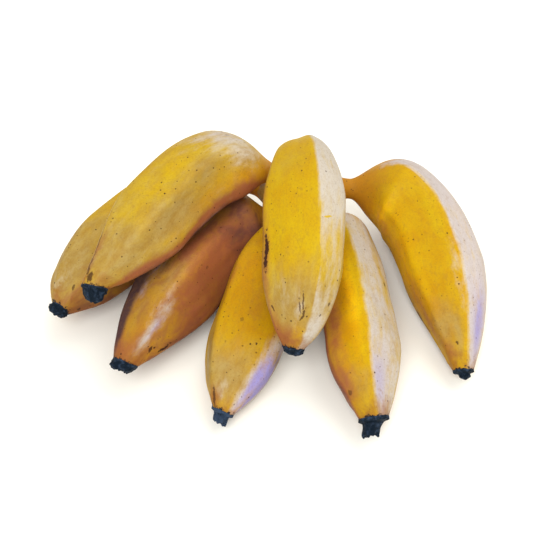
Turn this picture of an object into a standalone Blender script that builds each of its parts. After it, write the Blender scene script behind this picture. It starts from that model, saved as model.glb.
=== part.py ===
"""A hand of seven short, thick bananas, cut from its bunch and lying on a table.

Lengths below are millimetres and angles degrees; the scene is in metres with +Z up.
The tips point towards -Y and out to both sides, the cut crown is at the back.
"""
import math

import bmesh
import bpy
import numpy as np
from mathutils import Matrix, Vector

MM = 0.001

# The middle of the whole hand on the table, in the frame that the roots are given in
HAND_MIDDLE = (0.5, -15.6, 0.0)

# Radius of a stalk, and how much thicker it starts in the crown and over what length
STALK_RADIUS = 4.8
STALK_FLARE = 3.4
STALK_FLARE_LENGTH = 13.0

# How sharp the ridges are: the share of roundness left in a cross-section, and the fold's sharpness
ROUNDNESS = 0.3
FOLD_SHARPNESS = 12.0
FLAT_TO_ROUND = 0.95

# Mesh fineness: cross-sections along a finger, and points on each face between two ridges
STATIONS = 32
POINTS_ON_A_FACE = 4

# Each finger: where its stalk leaves the crown, the compass direction and rise that it leaves in
# (0 is towards -Y, 90 towards +X), the lean of the plane that it curves in, its turn over the neck
# and along the body, the stalk's and the body's length, the girth across, the lengths of the neck's
# bend, the shoulder and the nose, how full the nose is, the radius of the blunt tip under the dried
# flower, and the angles of the five ridges.
FINGERS = {
    "far_left": dict(
        root=(4.5, 47.5, 27), azimuth=-123, rise=-4.5, lean=-88, neck_turn=62.5, body_turn=39, stalk=27.5,
        body=124, girth=44.5, neck=24, shoulder=56, nose=49, fullness=2.2, tip=4.8,
        ridges=(63, 135, 207, 279, 351)),
    "top_left": dict(
        root=(13, 45, 38.5), azimuth=-79.5, rise=32, lean=-54, neck_turn=51.5, body_turn=10, stalk=20.5,
        body=117, girth=41.5, neck=56, shoulder=27, nose=43, fullness=1.4, tip=5.9,
        ridges=(4, 74, 147, 219, 289)),
    "near_left": dict(
        root=(11.5, 39.5, 21), azimuth=-69.5, rise=-3, lean=-94, neck_turn=32, body_turn=16, stalk=19,
        body=114.5, girth=44.5, neck=33, shoulder=12, nose=51, fullness=1.4, tip=6.2,
        ridges=(39, 114, 194, 259, 329)),
    "front_left": dict(
        root=(20.5, 38.5, 21), azimuth=-23.5, rise=29, lean=-8, neck_turn=40.5, body_turn=5, stalk=18,
        body=115, girth=42.5, neck=30, shoulder=44, nose=45, fullness=2.2, tip=5.5,
        ridges=(68, 140, 202, 264, 328)),
    "centre_top": dict(
        root=(11.5, 41.5, 40), azimuth=36, rise=75, lean=36, neck_turn=59.5, body_turn=79.5, stalk=23,
        body=119.5, girth=45, neck=35, shoulder=57, nose=38, fullness=1.7, tip=5.7,
        ridges=(10, 50, 130, 210, 287)),
    "front_right": dict(
        root=(26.5, 39.5, 19.5), azimuth=22, rise=3, lean=66, neck_turn=14.5, body_turn=5.5, stalk=15,
        body=118, girth=38, neck=41, shoulder=8, nose=40, fullness=1.4, tip=7.2,
        ridges=(19, 109, 164, 221, 299)),
    "right": dict(
        root=(30, 44, 33.5), azimuth=98, rise=-3.5, lean=79, neck_turn=72.5, body_turn=24.5, stalk=23.5,
        body=122.5, girth=45.5, neck=44, shoulder=17, nose=60, fullness=1.4, tip=5.2,
        ridges=(76, 141, 211, 281, 351)),
}

# The crown that the stalks grow from: its middle, its half sizes and the plane of the cut at its back
CROWN_MIDDLE = (18, 45, 29)
CROWN_HALF = (18, 16, 15)
CROWN_CUT_Y = 58
CROWN_SQUARENESS = 2.4

# The dried flower end: its clearance to the fruit, the collar's overhang past the tip and its
# length, and each ragged stub's length and radius
FLOWER_GAP = 0.3
COLLAR_OVERHANG = 0.2
COLLAR_LENGTH = 1.8
STUB_SIDES = 12
STUBS = {
    "far_left": (2.6, 2.8), "top_left": (4.2, 3.8), "near_left": (2.8, 3.8), "front_left": (4.4, 3.1),
    "centre_top": (3.2, 3.2), "front_right": (5.8, 3.5), "right": (2.0, 2.4),
}

PEEL_COLOUR = (0.78, 0.50, 0.06, 1.0)
FLOWER_COLOUR = (0.018, 0.022, 0.035, 1.0)


def clear_scene():
    for obj in list(bpy.data.objects):
        bpy.data.objects.remove(obj, do_unlink=True)


def material(name, colour, roughness):
    mat = bpy.data.materials.new(name)
    mat.use_nodes = True
    shader = mat.node_tree.nodes["Principled BSDF"]
    shader.inputs["Base Color"].default_value = colour
    shader.inputs["Roughness"].default_value = roughness
    shader.inputs["Metallic"].default_value = 0.0
    mat.diffuse_color = colour
    return mat


def ease(x):
    x = np.clip(x, 0, 1)
    return x * x * (3 - 2 * x)


def centreline(finger, distance):
    """Points, forward directions and outer-curve directions at each distance from the root."""
    azimuth, rise, lean = (math.radians(finger[key]) for key in ("azimuth", "rise", "lean"))
    out = np.array((math.sin(azimuth), -math.cos(azimuth), 0.0))
    up = np.array((0.0, 0.0, 1.0))
    forward = math.cos(rise) * out + math.sin(rise) * up
    over = math.cos(rise) * up - math.sin(rise) * out
    aside = np.cross(over, forward)
    outer = math.cos(lean) * over + math.sin(lean) * aside
    across = math.cos(lean) * aside - math.sin(lean) * over
    start = 0.3 * finger["stalk"]
    bend = ease((distance - start) / (finger["stalk"] - start + finger["neck"]))
    along = np.clip((distance - finger["stalk"]) / finger["body"], 0, 1)
    turn = np.radians(finger["neck_turn"] * bend + finger["body_turn"] * along)[:, None]
    tangents = np.cos(turn) * forward - np.sin(turn) * outer
    normals = np.sin(turn) * forward + np.cos(turn) * outer
    steps = np.diff(distance)[:, None] * (tangents[1:] + tangents[:-1]) / 2
    points = np.vstack((np.zeros(3), np.cumsum(steps, axis=0)))
    root = np.array(finger["root"], float) - np.array(HAND_MIDDLE)
    return points + root, tangents, normals, across


def body_radius(finger, distance):
    """From the stalk, up over the shoulder to the full girth, and down over the nose to the tip."""
    full = finger["girth"] / 2
    total = finger["stalk"] + finger["body"]
    foot = 0.55 * finger["stalk"]
    swell = ease(np.clip((distance - foot) / (finger["stalk"] - foot + finger["shoulder"]), 0, 1) ** 0.9)
    fall = np.clip((distance - total + finger["nose"]) / finger["nose"], 0, 1) ** finger["fullness"]
    flare = STALK_FLARE * ease(1 - distance / STALK_FLARE_LENGTH)
    body = (full - STALK_RADIUS) * swell * (1 - fall)
    return STALK_RADIUS + flare + body + (finger["tip"] - STALK_RADIUS) * fall


def section_angles(ridges):
    angles = []
    for first, last in zip(ridges, ridges[1:] + (ridges[0] + 360,)):
        angles += [first + (last - first) * step / POINTS_ON_A_FACE for step in range(POINTS_ON_A_FACE)]
    return np.radians(angles)


def ridged_section(angles, ridges):
    """How far out the skin lies at each angle, as a share of the radius at a sharp ridge."""
    total = np.zeros_like(angles)
    for first, last in zip(ridges, ridges[1:] + (ridges[0] + 360,)):
        middle = math.radians(first + last) / 2
        reach = math.cos(math.radians(last - first) / 2)
        total += (np.maximum(np.cos(angles - middle), 0) / reach) ** FOLD_SHARPNESS
    faceted = total ** (-1 / FOLD_SHARPNESS)
    return (1 - ROUNDNESS) * faceted + ROUNDNESS * FLAT_TO_ROUND


def skin(name, rings):
    """A closed mesh over a stack of rings, each with the same number of points in millimetres."""
    mesh = bmesh.new()
    loops = [[mesh.verts.new(Vector(point) * MM) for point in ring] for ring in rings]
    for near, far in zip(loops, loops[1:]):
        count = len(near)
        for i in range(count):
            j = (i + 1) % count
            mesh.faces.new((near[i], near[j], far[j], far[i]))
    mesh.faces.new(reversed(loops[0]))
    mesh.faces.new(loops[-1])
    bmesh.ops.recalc_face_normals(mesh, faces=mesh.faces)
    data = bpy.data.meshes.new(name)
    mesh.to_mesh(data)
    mesh.free()
    obj = bpy.data.objects.new(name, data)
    bpy.context.scene.collection.objects.link(obj)
    return obj


def finger_object(name, finger):
    distance = np.linspace(0, finger["stalk"] + finger["body"], STATIONS)
    points, _, normals, across = centreline(finger, distance)
    radius = body_radius(finger, distance)
    along = (distance - finger["stalk"]) / finger["body"]
    ridged = ease((along + 0.02) / 0.2) * (1 - 0.45 * ease((along - 0.8) / 0.2))
    angles = section_angles(finger["ridges"])
    section = ridged_section(angles, finger["ridges"])
    rings = []
    for point, normal, size, share in zip(points, normals, radius, ridged):
        reach = size * (share * section + (1 - share) * 0.97)
        ring = point + reach[:, None] * (np.cos(angles)[:, None] * normal + np.sin(angles)[:, None] * across)
        rings.append(ring)
    return skin(name, rings)


def crown_object():
    """The knot that all stalks grow from, a squarish ball with the knife's flat cut at its back."""
    mesh = bmesh.new()
    bmesh.ops.create_uvsphere(mesh, u_segments=24, v_segments=14, radius=1.0)
    bmesh.ops.rotate(mesh, verts=mesh.verts, matrix=Matrix.Rotation(math.radians(90), 3, "X"))
    middle = np.array(CROWN_MIDDLE, float) - np.array(HAND_MIDDLE)
    for vert in mesh.verts:
        out = np.abs(np.array(vert.co)) ** CROWN_SQUARENESS
        stretch = out.sum() ** (-1 / CROWN_SQUARENESS)
        vert.co = Vector(middle + stretch * np.array(vert.co) * np.array(CROWN_HALF)) * MM
    cut = bmesh.ops.bisect_plane(
        mesh, geom=mesh.verts[:] + mesh.edges[:] + mesh.faces[:], dist=0.000001,
        plane_co=Vector((0, CROWN_CUT_Y - HAND_MIDDLE[1], 0)) * MM, plane_no=(0, 1, 0), clear_outer=True)
    rim = [item for item in cut["geom_cut"] if isinstance(item, bmesh.types.BMEdge)]
    bmesh.ops.contextual_create(mesh, geom=rim)
    bmesh.ops.recalc_face_normals(mesh, faces=mesh.faces)
    data = bpy.data.meshes.new("crown")
    mesh.to_mesh(data)
    mesh.free()
    obj = bpy.data.objects.new("crown", data)
    bpy.context.scene.collection.objects.link(obj)
    return obj


def apply_modifiers(obj):
    graph = bpy.context.evaluated_depsgraph_get()
    mesh = bpy.data.meshes.new_from_object(obj.evaluated_get(graph))
    obj.modifiers.clear()
    obj.data = mesh


def flat_where_it_lies(hand):
    """The low fingers press flat on the table, so everything under it is cut away."""
    bpy.ops.mesh.primitive_cube_add(size=1.0, location=(0, 0, -0.25))
    table = bpy.context.active_object
    table.scale = (1.0, 1.0, 0.5)
    bpy.context.view_layer.update()
    cut = hand.modifiers.new("flat_spots", "BOOLEAN")
    cut.operation = "DIFFERENCE"
    cut.solver = "EXACT"
    cut.object = table
    apply_modifiers(hand)
    bpy.data.objects.remove(table, do_unlink=True)


def banana_hand(peel):
    """The crown, the stalks and the seven fingers, grown as one piece."""
    hand = crown_object()
    hand.name = "banana_hand"
    grown = bpy.data.collections.new("grown_together")
    bpy.context.scene.collection.children.link(grown)
    for name, finger in FINGERS.items():
        obj = finger_object("finger_" + name, finger)
        bpy.context.scene.collection.objects.unlink(obj)
        grown.objects.link(obj)
    union = hand.modifiers.new("grown_together", "BOOLEAN")
    union.operation = "UNION"
    union.solver = "EXACT"
    union.operand_type = "COLLECTION"
    union.collection = grown
    apply_modifiers(hand)
    for obj in list(grown.objects):
        bpy.data.objects.remove(obj, do_unlink=True)
    bpy.data.collections.remove(grown)
    flat_where_it_lies(hand)
    hand.data.materials.clear()
    hand.data.materials.append(peel)
    hand.data.shade_smooth()
    hand.data.set_sharp_from_angle(angle=math.radians(40))


def flower_end(name, finger, dried):
    """The dried end of the flower: a collar over the finger's tip and a ragged stub."""
    distance = np.linspace(0, finger["stalk"] + finger["body"], STATIONS)
    points, tangents, normals, across = centreline(finger, distance)
    tip, forward, normal = points[-1], tangents[-1], normals[-1]
    stub, thick = STUBS[name]
    profile = (
        (FLOWER_GAP, finger["tip"]),
        (FLOWER_GAP + 0.4 * COLLAR_LENGTH, finger["tip"] + COLLAR_OVERHANG),
        (FLOWER_GAP + COLLAR_LENGTH, 0.8 * finger["tip"]),
        (FLOWER_GAP + COLLAR_LENGTH + 0.15 * stub, thick),
        (FLOWER_GAP + COLLAR_LENGTH + 0.7 * stub, 0.9 * thick),
        (FLOWER_GAP + COLLAR_LENGTH + stub, 0.6 * thick),
    )
    angles = np.radians(np.arange(STUB_SIDES) * 360 / STUB_SIDES)
    ragged = 1 + 0.08 * np.cos(3 * angles + len(name))
    rings = []
    for ahead, radius in profile:
        around = np.cos(angles)[:, None] * normal + np.sin(angles)[:, None] * across
        rings.append(tip + ahead * forward + (radius * ragged)[:, None] * around)
    obj = skin("flower_end_" + name, rings)
    obj.data.materials.append(dried)
    obj.data.shade_smooth()
    obj.data.set_sharp_from_angle(angle=math.radians(50))


def build():
    clear_scene()
    peel = material("peel", PEEL_COLOUR, 0.5)
    dried = material("dried_flower", FLOWER_COLOUR, 0.8)
    banana_hand(peel)
    for name, finger in FINGERS.items():
        flower_end(name, finger, dried)


build()
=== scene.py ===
import math

import bmesh
import bpy
import numpy as np
from mathutils import Matrix, Vector


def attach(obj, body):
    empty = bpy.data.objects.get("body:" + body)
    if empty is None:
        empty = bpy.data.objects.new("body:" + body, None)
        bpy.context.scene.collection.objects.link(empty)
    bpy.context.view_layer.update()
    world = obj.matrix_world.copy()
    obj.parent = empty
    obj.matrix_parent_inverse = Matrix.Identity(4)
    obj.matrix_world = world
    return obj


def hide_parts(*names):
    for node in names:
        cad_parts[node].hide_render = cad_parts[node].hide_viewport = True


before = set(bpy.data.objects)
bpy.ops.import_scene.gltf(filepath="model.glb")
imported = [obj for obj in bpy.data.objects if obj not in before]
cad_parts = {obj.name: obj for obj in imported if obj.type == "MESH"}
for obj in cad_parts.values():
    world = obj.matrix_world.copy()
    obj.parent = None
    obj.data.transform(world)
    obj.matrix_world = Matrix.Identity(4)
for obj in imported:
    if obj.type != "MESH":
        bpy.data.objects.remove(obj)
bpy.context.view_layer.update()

# The fingers: seven short, thick, five-sided cooking bananas. Their ripe peel is waxy and yellow,
# with a pale bloom on the faces towards the sky, and each grew from the crown on a bent stalk. The
# pale of the faces turned to the right is partly that bloom and partly a painted sheen of a cool light.
# A finger is a bent line with a five-sided section; sizes are millimetres and angles degrees.
MM = 0.001
HAND_MIDDLE = np.array((0.5, -15.6, 0.0))
STALK_RADIUS = 4.8
STALK_FLARE = 3.4
STALK_FLARE_LENGTH = 13.0
BEND_START = 0.3            # as a share of the stalk
SWELL_START = 0.55          # as a share of the stalk
SWELL_POWER = 0.9

# How sharp the ridges are, the share of the radius where the section is still round, and the places
# along the body where the ridges have grown and start to fade, and how much they lose at the tip
ROUNDNESS = 0.24
FOLD_SHARPNESS = 14.0
FLAT_TO_ROUND = 0.95
ROUND_SHARE = 0.97
RIDGES_GROWN = 0.22
RIDGES_GROW_OVER = 0.26
RIDGES_FADE = 0.85
RIDGE_LOSS = 0.4
RIDGE_DRIFT = (1.5, 3.0)    # degrees
RIDGE_WAVES = (0.6, 1.1)    # waves of that drift along a finger
SKEW_START = 0.88

# The skin's low swells: their size, height and how drawn out they are lengthwise; where along the
# body they set in, and over how much of it they grow and end
BROAD_SWELL, BROAD_HEIGHT, BROAD_DRAWN = 16, 0.28, 0.5
SMALL_SWELL, SMALL_HEIGHT, SMALL_DRAWN = 6, 0.08, 0.35
SWELLS_START, SWELLS_GROW_OVER, SWELLS_END_OVER = -0.05, 0.15, 0.06

# The faces of a finger, the mesh's fineness, and how far apart the fingers' patterns lie in the space
# that they are cut from
SIDES = 5
RINGS = 230
COLUMNS = 150
FINGER_SPACING = 400.0

# Each finger: where its stalk leaves the crown, the compass direction and rise that it leaves in
# (0 is towards -Y, 90 towards +X), the lean of the plane that it curves in, its turn over the neck
# and along the body, the stalk's and the body's length, the girth across, the lengths of the neck's
# bend, the shoulder and the nose, how full the nose is and the radius of its blunt tip. Then the
# angles of its ridges, how far and towards which angle the tip is cut at a slant, and how far the
# faces' tones run into each other at a ridge. Its faces have one tone each, in the ridges' order.
# Fuller places stand out: the place along the body and the angle, the half length as a share of the
# body, the half width in degrees and the height. Patches are laid over the faces in the same words,
# with a strength for the height.
TONES = ("bloom", "violet", "russet", "dusk", "tan", "deep", "bright")


def face_tone(**shares):
    """How much of each tone a face has: a pale waxy coat with a painted sheen, a painted cool
    purple reflection in it, red-brown peel with painted warm shade, painted dark shade, rubbed tan,
    how far the yellow has deepened to gold, and painted light that lifts shaded places."""
    return tuple(shares.get(tone, 0.0) for tone in TONES)


LEMON = face_tone(bloom=0.11, tan=0.44, deep=0.05)
KHAKI = face_tone(bloom=0.10, tan=0.50, deep=0.30)
CLEAR_YELLOW = face_tone(tan=0.05, deep=0.26)
GOLD = face_tone(tan=0.04, deep=0.55)
OLD_GOLD = face_tone(russet=0.06, tan=0.08, deep=0.72)
ORANGE = face_tone(russet=0.10, tan=0.05, deep=0.65)
# The cream, hazy and lilac faces are partly pale bloom and partly a painted sheen of a cool light from the
# right, on the faces turned towards it
CREAM = face_tone(bloom=0.95, violet=0.05, deep=0.1)
HAZY = face_tone(bloom=0.74, violet=0.14, tan=0.12, deep=0.15)
LILAC = face_tone(bloom=0.92, violet=0.35, deep=0.2)
# The tawny, red-brown and dusky faces lie on the sides turned away from the light: their red-brown is partly
# real peel and partly painted warm shade, and the dusky one is also darkened with painted shade
TAWNY = face_tone(bloom=0.04, russet=0.52, tan=0.50, deep=0.8)
RUSSET = face_tone(bloom=0.05, violet=0.1, russet=0.92, dusk=0.05, tan=0.06, deep=0.9)
DUSKY = face_tone(bloom=0.05, violet=0.2, russet=0.9, dusk=0.45, tan=0.1, deep=0.6)

FINGERS = {
    "far_left": dict(
        root=(4.5, 47.5, 27), azimuth=-123, rise=-4.5, lean=-88, neck_turn=62.5, body_turn=39, stalk=27.5,
        body=124, girth=44.5, neck=24, shoulder=56, nose=49, fullness=2.2, tip=4.8,
        ridges=(63, 135, 207, 279, 351), skew=1.4, skew_angle=145, blend=6,
        faces=(KHAKI, TAWNY, DUSKY, TAWNY, KHAKI),
        fuller=[(0.88, 190, 0.10, 40, 1.4), (0.92, 40, 0.07, 40, 1.6), (0.55, 330, 0.30, 40, 0.8)],
        patches=dict(
            bloom=[(0.93, 74, 0.07, 26, 0.20)],
            russet=[(0.84, 110, 0.18, 30, 0.15), (0.90, 142, 0.12, 20, 0.25),
                    (0.98, 100, 0.03, 60, 0.35)],
            dusk=[(0.90, 178, 0.30, 24, 0.35)],
            tan=[(0.50, 70, 0.18, 24, -0.15), (0.84, 84, 0.20, 60, 0.45)])),
    "top_left": dict(
        root=(13, 45, 38.5), azimuth=-79.5, rise=32, lean=-54, neck_turn=51.5, body_turn=10, stalk=20.5,
        body=117, girth=41.5, neck=56, shoulder=27, nose=43, fullness=1.4, tip=5.9,
        ridges=(4, 74, 147, 219, 289), skew=3.6, skew_angle=15, blend=6,
        faces=(LEMON, KHAKI, DUSKY, TAWNY, KHAKI),
        fuller=[(0.50, 4, 0.26, 34, 1.5), (0.06, 130, 0.10, 45, 2.5), (0.02, 30, 0.07, 50, -1.0)],
        patches=dict(
            bloom=[(0.18, 26, 0.12, 34, 0.60), (0.50, 150, 0.45, 8, 0.10), (0.15, 72, 0.08, 24, 0.50)],
            violet=[(0.17, 24, 0.10, 26, 0.30)],
            russet=[(0.26, 136, 0.28, 13, 0.50), (0.52, 147, 0.46, 12, 0.90), (0.12, 126, 0.12, 22, 0.45),
                    (0.86, 132, 0.12, 12, 0.50), (0.90, 10, 0.10, 14, 0.55)],
            dusk=[(0.48, 157, 0.42, 9, 0.75), (0.93, 14, 0.05, 10, 0.22)],
            tan=[(0.16, 86, 0.08, 30, 0.45), (0.52, 46, 0.17, 22, -0.12), (0.34, 72, 0.10, 18, 0.30),
                 (0.62, 94, 0.15, 26, 0.40), (0.16, 110, 0.12, 30, -0.35), (0.87, 60, 0.12, 70, 0.40)],
            deep=[(0.36, 120, 0.34, 18, 0.55), (0.10, 118, 0.14, 40, 0.60), (0.88, 50, 0.12, 50, 0.25)],
            bright=[(0.12, 112, 0.14, 44, 0.42), (0.45, 118, 0.28, 22, 0.28),
                    (0.50, 151, 0.50, 11, 0.24)])),
    "near_left": dict(
        root=(11.5, 39.5, 21), azimuth=-69.5, rise=-3, lean=-94, neck_turn=32, body_turn=16, stalk=19,
        body=114.5, girth=44.5, neck=33, shoulder=12, nose=51, fullness=1.4, tip=6.2,
        ridges=(39, 114, 194, 259, 329), skew=4.3, skew_angle=102, blend=9,
        faces=(TAWNY, RUSSET, DUSKY, DUSKY, DUSKY),
        fuller=[(0.05, 88, 0.10, 50, 4.2), (0.84, 45, 0.14, 40, 0.8)],
        patches=dict(
            bloom=[(0.60, 68, 0.15, 10, 0.45), (0.76, 119, 0.12, 14, 0.30), (0.90, 132, 0.07, 16, 0.50),
                   (0.81, 130, 0.07, 12, 0.36)],
            violet=[(0.60, 66, 0.16, 13, 0.85), (0.84, 136, 0.08, 14, 0.55), (0.70, 150, 0.10, 20, 0.4)],
            russet=[(0.24, 130, 0.20, 40, 0.25), (0.62, 104, 0.20, 12, -0.3), (0.80, 82, 0.14, 14, -0.1),
                    (0.86, 160, 0.16, 44, -0.45), (0.97, 60, 0.04, 70, 0.3), (0.44, 95, 0.17, 10, 0.45)],
            dusk=[(0.74, 44, 0.26, 15, 1.20), (0.12, 130, 0.20, 60, 0.55), (0.57, 82, 0.07, 12, 0.55),
                  (0.64, 62, 0.07, 12, 0.45)],
            tan=[(0.58, 108, 0.12, 13, 0.45), (0.82, 156, 0.18, 40, 0.35)],
            bright=[(0.50, 102, 0.18, 26, 0.50), (0.24, 128, 0.24, 40, 0.40)])),
    "front_left": dict(
        root=(20.5, 38.5, 21), azimuth=-23.5, rise=29, lean=-8, neck_turn=40.5, body_turn=5, stalk=18,
        body=115, girth=42.5, neck=30, shoulder=44, nose=45, fullness=2.2, tip=5.5,
        ridges=(68, 140, 202, 264, 328), skew=2.6, skew_angle=35, blend=4,
        faces=(LILAC, DUSKY, TAWNY, GOLD, OLD_GOLD),
        fuller=[(0.84, 84, 0.12, 30, 1.6), (0.92, 330, 0.08, 40, 1.2)],
        patches=dict(
            bloom=[(0.93, 0, 0.04, 18, 0.45), (0.92, 50, 0.06, 14, 0.30), (0.82, 60, 0.13, 14, 0.56),
                   (0.74, 90, 0.05, 12, -0.50), (0.80, 308, 0.12, 14, 0.30)],
            violet=[(0.86, 78, 0.14, 20, 1.00), (0.84, 60, 0.12, 10, 0.40)],
            russet=[(0.52, 322, 0.26, 7, 0.40), (0.97, 336, 0.04, 24, 0.50), (0.66, 60, 0.12, 8, 0.30),
                    (0.56, 16, 0.12, 20, 0.22), (0.30, 350, 0.18, 60, 0.14)],
            dusk=[(0.74, 90, 0.05, 12, 0.80)],
            tan=[(0.88, 10, 0.13, 70, 0.80), (0.78, 310, 0.20, 18, 0.55)],
            deep=[(0.50, 10, 0.22, 34, 0.35), (0.76, 342, 0.10, 16, -0.25)],
            bright=[(0.36, 345, 0.20, 44, 0.30)])),
    "centre_top": dict(
        root=(11.5, 41.5, 40), azimuth=36, rise=75, lean=36, neck_turn=59.5, body_turn=79.5, stalk=23,
        body=119.5, girth=45, neck=35, shoulder=57, nose=38, fullness=1.7, tip=5.7,
        ridges=(10, 50, 130, 210, 287), skew=0.0, skew_angle=0,
        faces=(CREAM, HAZY, TAWNY, TAWNY, CLEAR_YELLOW),
        fuller=[(0.90, 62, 0.10, 35, 1.2), (0.19, 300, 0.09, 30, 1.2), (0.68, 292, 0.16, 28, -2.0),
                (0.12, 340, 0.08, 40, -1.2)],
        patches=dict(
            bloom=[(0.72, 33, 0.19, 34, -0.62), (0.83, 354, 0.08, 10, 0.60), (0.80, 322, 0.07, 22, 0.30),
                   (0.93, 26, 0.05, 14, 0.25)],
            russet=[(0.97, 322, 0.055, 60, 0.85), (0.88, 64, 0.10, 10, 0.80), (0.68, 290, 0.24, 5, 0.65),
                    (0.90, 298, 0.08, 10, 0.40)],
            tan=[(0.80, 34, 0.18, 30, 0.45), (0.30, 322, 0.10, 30, 0.30), (0.83, 326, 0.13, 60, 0.80)],
            deep=[(0.92, 330, 0.08, 50, 0.50)])),
    "front_right": dict(
        root=(26.5, 39.5, 19.5), azimuth=22, rise=3, lean=66, neck_turn=14.5, body_turn=5.5, stalk=15,
        body=118, girth=38, neck=41, shoulder=8, nose=40, fullness=1.4, tip=7.2,
        ridges=(19, 109, 164, 221, 299), skew=3.8, skew_angle=286,
        faces=(TAWNY, DUSKY, DUSKY, GOLD, HAZY),
        fuller=[(0.80, 226, 0.12, 32, 2.4)],
        patches=dict(
            bloom=[(0.40, 2, 0.26, 12, -0.22), (0.22, 326, 0.08, 18, 0.25), (0.52, 332, 0.06, 14, 0.20),
                   (0.86, 318, 0.12, 20, 0.30)],
            violet=[(0.88, 314, 0.15, 30, 0.46)],
            russet=[(0.56, 238, 0.24, 22, 0.80), (0.90, 236, 0.12, 20, 0.55)],
            tan=[(0.90, 262, 0.10, 40, 0.50), (0.74, 350, 0.14, 22, 0.35)],
            deep=[(0.45, 290, 0.30, 10, -0.45), (0.52, 262, 0.26, 18, 0.35), (0.30, 250, 0.20, 40, 0.50),
                  (0.85, 240, 0.12, 24, 0.30)],
            bright=[(0.44, 281, 0.28, 13, 0.85), (0.56, 240, 0.22, 26, 0.32)])),
    "right": dict(
        root=(30, 44, 33.5), azimuth=98, rise=-3.5, lean=79, neck_turn=72.5, body_turn=24.5, stalk=23.5,
        body=122.5, girth=45.5, neck=44, shoulder=17, nose=60, fullness=1.4, tip=5.2,
        ridges=(76, 141, 211, 281, 351), skew=2.0, skew_angle=256,
        faces=(DUSKY, ORANGE, GOLD, LILAC, KHAKI),
        fuller=[(-0.02, 150, 0.06, 50, 3.6), (0.12, 150, 0.06, 34, -2.4), (0.24, 150, 0.12, 40, 0.8),
                (0.05, 290, 0.12, 50, 1.2)],
        patches=dict(
            bloom=[(0.64, 272, 0.20, 9, 0.40), (0.22, 280, 0.10, 14, 0.15)],
            violet=[(0.82, 320, 0.14, 22, 0.50)],
            russet=[(0.22, 176, 0.16, 26, 0.32), (0.72, 182, 0.16, 24, 0.46),
                    (0.93, 216, 0.05, 26, 0.55)],
            tan=[(0.66, 152, 0.16, 14, 0.45), (0.84, 226, 0.12, 34, 0.65), (0.88, 258, 0.09, 12, 0.45)],
            deep=[(0.10, 225, 0.14, 50, -0.15), (0.40, 266, 0.34, 9, -0.35), (0.84, 222, 0.12, 30, 0.50)],
            bright=[(0.10, 182, 0.12, 34, 0.85), (0.46, 182, 0.30, 34, 0.90),
                    (0.50, 312, 0.40, 40, 0.18)])),
}

# How far two faces' tones run into each other at most ridges, and where along the body the faces'
# own tones set in and over how much of it they grow out of the stalk's gold
FACE_BLEND = 1.5
TONES_START, TONES_GROW_OVER = -0.04, 0.12

# An uneven field is a sum of waves of different lengths, brought back to about -1 to 1
WAVES_SUMMED = 9
WAVE_LENGTHS = (0.7, 1.6)
WAVES_HEIGHT = 3.5


def ease(x):
    x = np.clip(x, 0, 1)
    return x * x * (3 - 2 * x)


def waves(points, size, seed):
    """A smooth uneven field of about -1 to 1 over points, with swells about size across."""
    rng = np.random.default_rng(seed)
    total = np.zeros(points.shape[:-1])
    for _ in range(WAVES_SUMMED):
        way = rng.normal(size=3)
        way *= 2 * math.pi / (size * np.linalg.norm(way) * rng.uniform(*WAVE_LENGTHS))
        total += np.sin(points @ way + rng.uniform(0, 2 * math.pi))
    return total / WAVES_HEIGHT


def centreline(finger, distance):
    """Points, forward directions and outer-curve directions at each distance from the root."""
    azimuth, rise, lean = (math.radians(finger[key]) for key in ("azimuth", "rise", "lean"))
    out = np.array((math.sin(azimuth), -math.cos(azimuth), 0.0))
    up = np.array((0.0, 0.0, 1.0))
    forward = math.cos(rise) * out + math.sin(rise) * up
    over = math.cos(rise) * up - math.sin(rise) * out
    aside = np.cross(over, forward)
    outer = math.cos(lean) * over + math.sin(lean) * aside
    across = math.cos(lean) * aside - math.sin(lean) * over
    start = BEND_START * finger["stalk"]
    bend = ease((distance - start) / (finger["stalk"] - start + finger["neck"]))
    along = np.clip((distance - finger["stalk"]) / finger["body"], 0, 1)
    turn = np.radians(finger["neck_turn"] * bend + finger["body_turn"] * along)[:, None]
    tangents = np.cos(turn) * forward - np.sin(turn) * outer
    normals = np.sin(turn) * forward + np.cos(turn) * outer
    steps = np.diff(distance)[:, None] * (tangents[1:] + tangents[:-1]) / 2
    points = np.vstack((np.zeros(3), np.cumsum(steps, axis=0)))
    return points + np.array(finger["root"]) - HAND_MIDDLE, tangents, normals, across


def body_radius(finger, distance):
    """From the stalk, up over the shoulder to the full girth, and down over the nose to the tip."""
    full = finger["girth"] / 2
    total = finger["stalk"] + finger["body"]
    foot = SWELL_START * finger["stalk"]
    risen = np.clip((distance - foot) / (finger["stalk"] - foot + finger["shoulder"]), 0, 1)
    swell = ease(risen ** SWELL_POWER)
    fall = np.clip((distance - total + finger["nose"]) / finger["nose"], 0, 1) ** finger["fullness"]
    flare = STALK_FLARE * ease(1 - distance / STALK_FLARE_LENGTH)
    body = (full - STALK_RADIUS) * swell * (1 - fall)
    return STALK_RADIUS + flare + body + (finger["tip"] - STALK_RADIUS) * fall


def wandering_ridges(finger, distance, seed):
    """The five ridge angles at each distance: real ridges drift a few degrees along the fruit."""
    rng = np.random.default_rng(seed)
    base = np.array(finger["ridges"], float)
    share = distance / (finger["stalk"] + finger["body"])
    drift = []
    for _ in base:
        reach = rng.uniform(*RIDGE_DRIFT)
        turns = share * rng.uniform(*RIDGE_WAVES) + rng.random()
        drift.append(reach * np.sin(2 * math.pi * turns))
    return base[None, :] + np.stack(drift, axis=1)


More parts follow.
